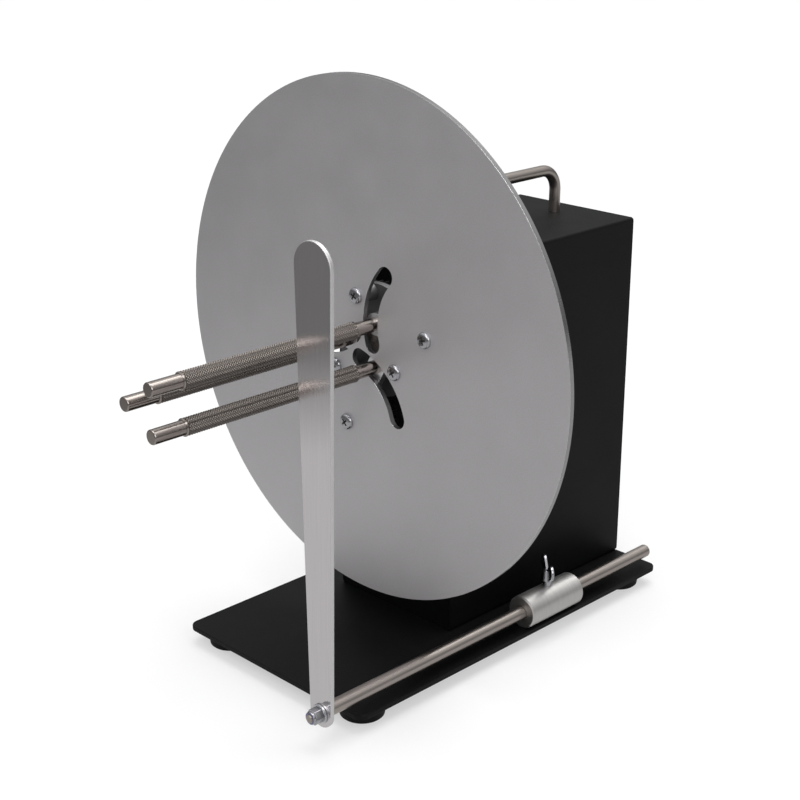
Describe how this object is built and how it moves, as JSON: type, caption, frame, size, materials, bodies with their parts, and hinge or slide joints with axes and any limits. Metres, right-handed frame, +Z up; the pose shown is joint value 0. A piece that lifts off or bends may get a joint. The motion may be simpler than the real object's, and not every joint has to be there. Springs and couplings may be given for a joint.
{
  "type": "label rewinder",
  "caption": "Bench label rewinder: a motor-driven disc with swinging knurled core posts on a black housing, and a guide arm on a sliding rod.",
  "frame": {"origin": "on the table, in the middle of the footprint", "axes": "+X to the right seen from the disc's front, +Y from the posts' tips to the rear panel, +Z up"},
  "size_m": [0.3, 0.3606, 0.338],
  "materials": {
    "powder_black": "fine matt black powder coat",
    "rubber_black": "matt black rubber",
    "black_plastic": "matt moulded plastic",
    "satin_aluminium": "satin brushed aluminium plate",
    "turned_aluminium": "fine turned aluminium",
    "stainless": "drawn satin stainless steel",
    "zinc_steel": "bright zinc-plated steel",
    "gear_steel": "black-oxide cut steel",
    "brass": "plain brass",
    "board_green": "solder-masked circuit board",
    "board_parts": "mixed moulded and anodised components",
    "lead_red": "soft insulated wire",
    "nylon_white": "natural nylon"
  },
  "bodies": {
    "stand": {"base_plate": "powder_black", "feet": "rubber_black", "foot_screws": "zinc_steel", "cover": "powder_black", "front_panel": "powder_black", "rear_panel": "powder_black", "base_screws": "zinc_steel", "carry_handle": "stainless", "handle_screws": "zinc_steel", "bearing_block": "turned_aluminium", "frame_bolts": "zinc_steel", "bearing_outer_rings": "gear_steel", "motor_plate": "zinc_steel", "motor_pillars": "zinc_steel", "gearbox": "gear_steel", "gearbox_screws": "zinc_steel", "motor": "zinc_steel", "control_board": "board_green", "board_pillars": "nylon_white", "board_parts": "board_parts", "wire_leads": "lead_red", "power_inlet": "black_plastic", "panel_nuts": "zinc_steel", "switch_housing": "black_plastic", "dial_body": "gear_steel", "rod_clamp": "turned_aluminium", "clamp_screws": "zinc_steel"},
    "spindle": {"spindle_shaft": "stainless", "bearing_inner_rings": "gear_steel", "shaft_clips": "gear_steel", "coupling": "turned_aluminium", "set_screws": "gear_steel", "motor_shaft": "stainless", "hub": "turned_aluminium", "hub_spacers": "turned_aluminium", "hub_screws": "zinc_steel", "disc": "satin_aluminium", "pivot_pins": "gear_steel", "pivot_screws": "zinc_steel"},
    "bearing_balls": {"bearing_balls": "zinc_steel"},
    "sync_gear": {"sync_gear": "gear_steel"},
    "post_1": {"swing_arm_1": "turned_aluminium", "arm_gear_1": "gear_steel", "core_post_1": "stainless"},
    "post_2": {"swing_arm_2": "turned_aluminium", "arm_gear_2": "gear_steel", "core_post_2": "stainless"},
    "post_3": {"swing_arm_3": "turned_aluminium", "arm_gear_3": "gear_steel", "core_post_3": "stainless"},
    "guide_rod": {"guide_rod": "stainless", "guide_washer": "zinc_steel", "guide_nut": "zinc_steel"},
    "guide_arm": {"guide_arm": "satin_aluminium"},
    "clamp_pad": {"clamp_pad": "brass"},
    "wing_screw": {"wing_screw": "zinc_steel"},
    "switch_rocker": {"switch_rocker": "black_plastic"},
    "dial": {"dial_shaft": "zinc_steel", "torque_knob": "black_plastic"}
  },
  "joints": [
    {"name": "spindle_spin", "type": "hinge", "parent": "stand", "child": "spindle", "pos_m": [0, -0.02875, 0.188], "axis": [0, 1, 0], "continuous": true},
    {"name": "ball_orbit", "type": "hinge", "parent": "stand", "child": "bearing_balls", "pos_m": [0, 0.02125, 0.188], "axis": [0, 1, 0], "continuous": true},
    {"name": "post_1_swing", "type": "hinge", "parent": "spindle", "child": "post_1", "pos_m": [0.04915, -0.02875, 0.20163], "axis": [0, 1, 0], "range_deg": [-14, 45]},
    {"name": "post_2_swing", "type": "hinge", "parent": "spindle", "child": "post_2", "pos_m": [-0.03638, -0.02875, 0.22375], "axis": [0, 1, 0], "range_deg": [-14, 45]},
    {"name": "post_3_swing", "type": "hinge", "parent": "spindle", "child": "post_3", "pos_m": [-0.01277, -0.02875, 0.13862], "axis": [0, 1, 0], "range_deg": [-14, 45]},
    {"name": "sync_turn", "type": "hinge", "parent": "spindle", "child": "sync_gear", "pos_m": [0, -0.01075, 0.188], "axis": [0, 1, 0], "range_deg": [-28, 9]},
    {"name": "guide_slide", "type": "slide", "parent": "stand", "child": "guide_rod", "axis": [0, 1, 0], "range_m": [-0.06, 0.085]},
    {"name": "guide_swing", "type": "hinge", "parent": "guide_rod", "child": "guide_arm", "pos_m": [0.068, -0.12375, 0.0217], "axis": [0, 1, 0], "range_deg": [0, 90]},
    {"name": "pad_lift", "type": "slide", "parent": "stand", "child": "clamp_pad", "axis": [0, 0, 1], "range_m": [0, 0.0008]},
    {"name": "wing_turn", "type": "hinge", "parent": "clamp_pad", "child": "wing_screw", "pos_m": [0.068, 0.0585, 0.0217], "axis": [0, 0, 1], "range_deg": [0, 361]},
    {"name": "switch_tip", "type": "hinge", "parent": "stand", "child": "switch_rocker", "pos_m": [0, 0.16125, 0.094], "axis": [1, 0, 0], "range_deg": [0, 24]},
    {"name": "dial_turn", "type": "hinge", "parent": "stand", "child": "dial", "pos_m": [0, 0.16125, 0.132], "axis": [0, 1, 0], "range_deg": [-150, 150]}
  ],
  "couplings": [
    {"joint": "ball_orbit", "follows": "spindle_spin", "ratio": 0.382},
    {"joint": "post_2_swing", "follows": "post_1_swing", "ratio": 1},
    {"joint": "post_3_swing", "follows": "post_1_swing", "ratio": 1},
    {"joint": "sync_turn", "follows": "post_1_swing", "ratio": -0.61905},
    {"joint": "wing_turn", "follows": "pad_lift", "rad_per_m": 7854}
  ]
}
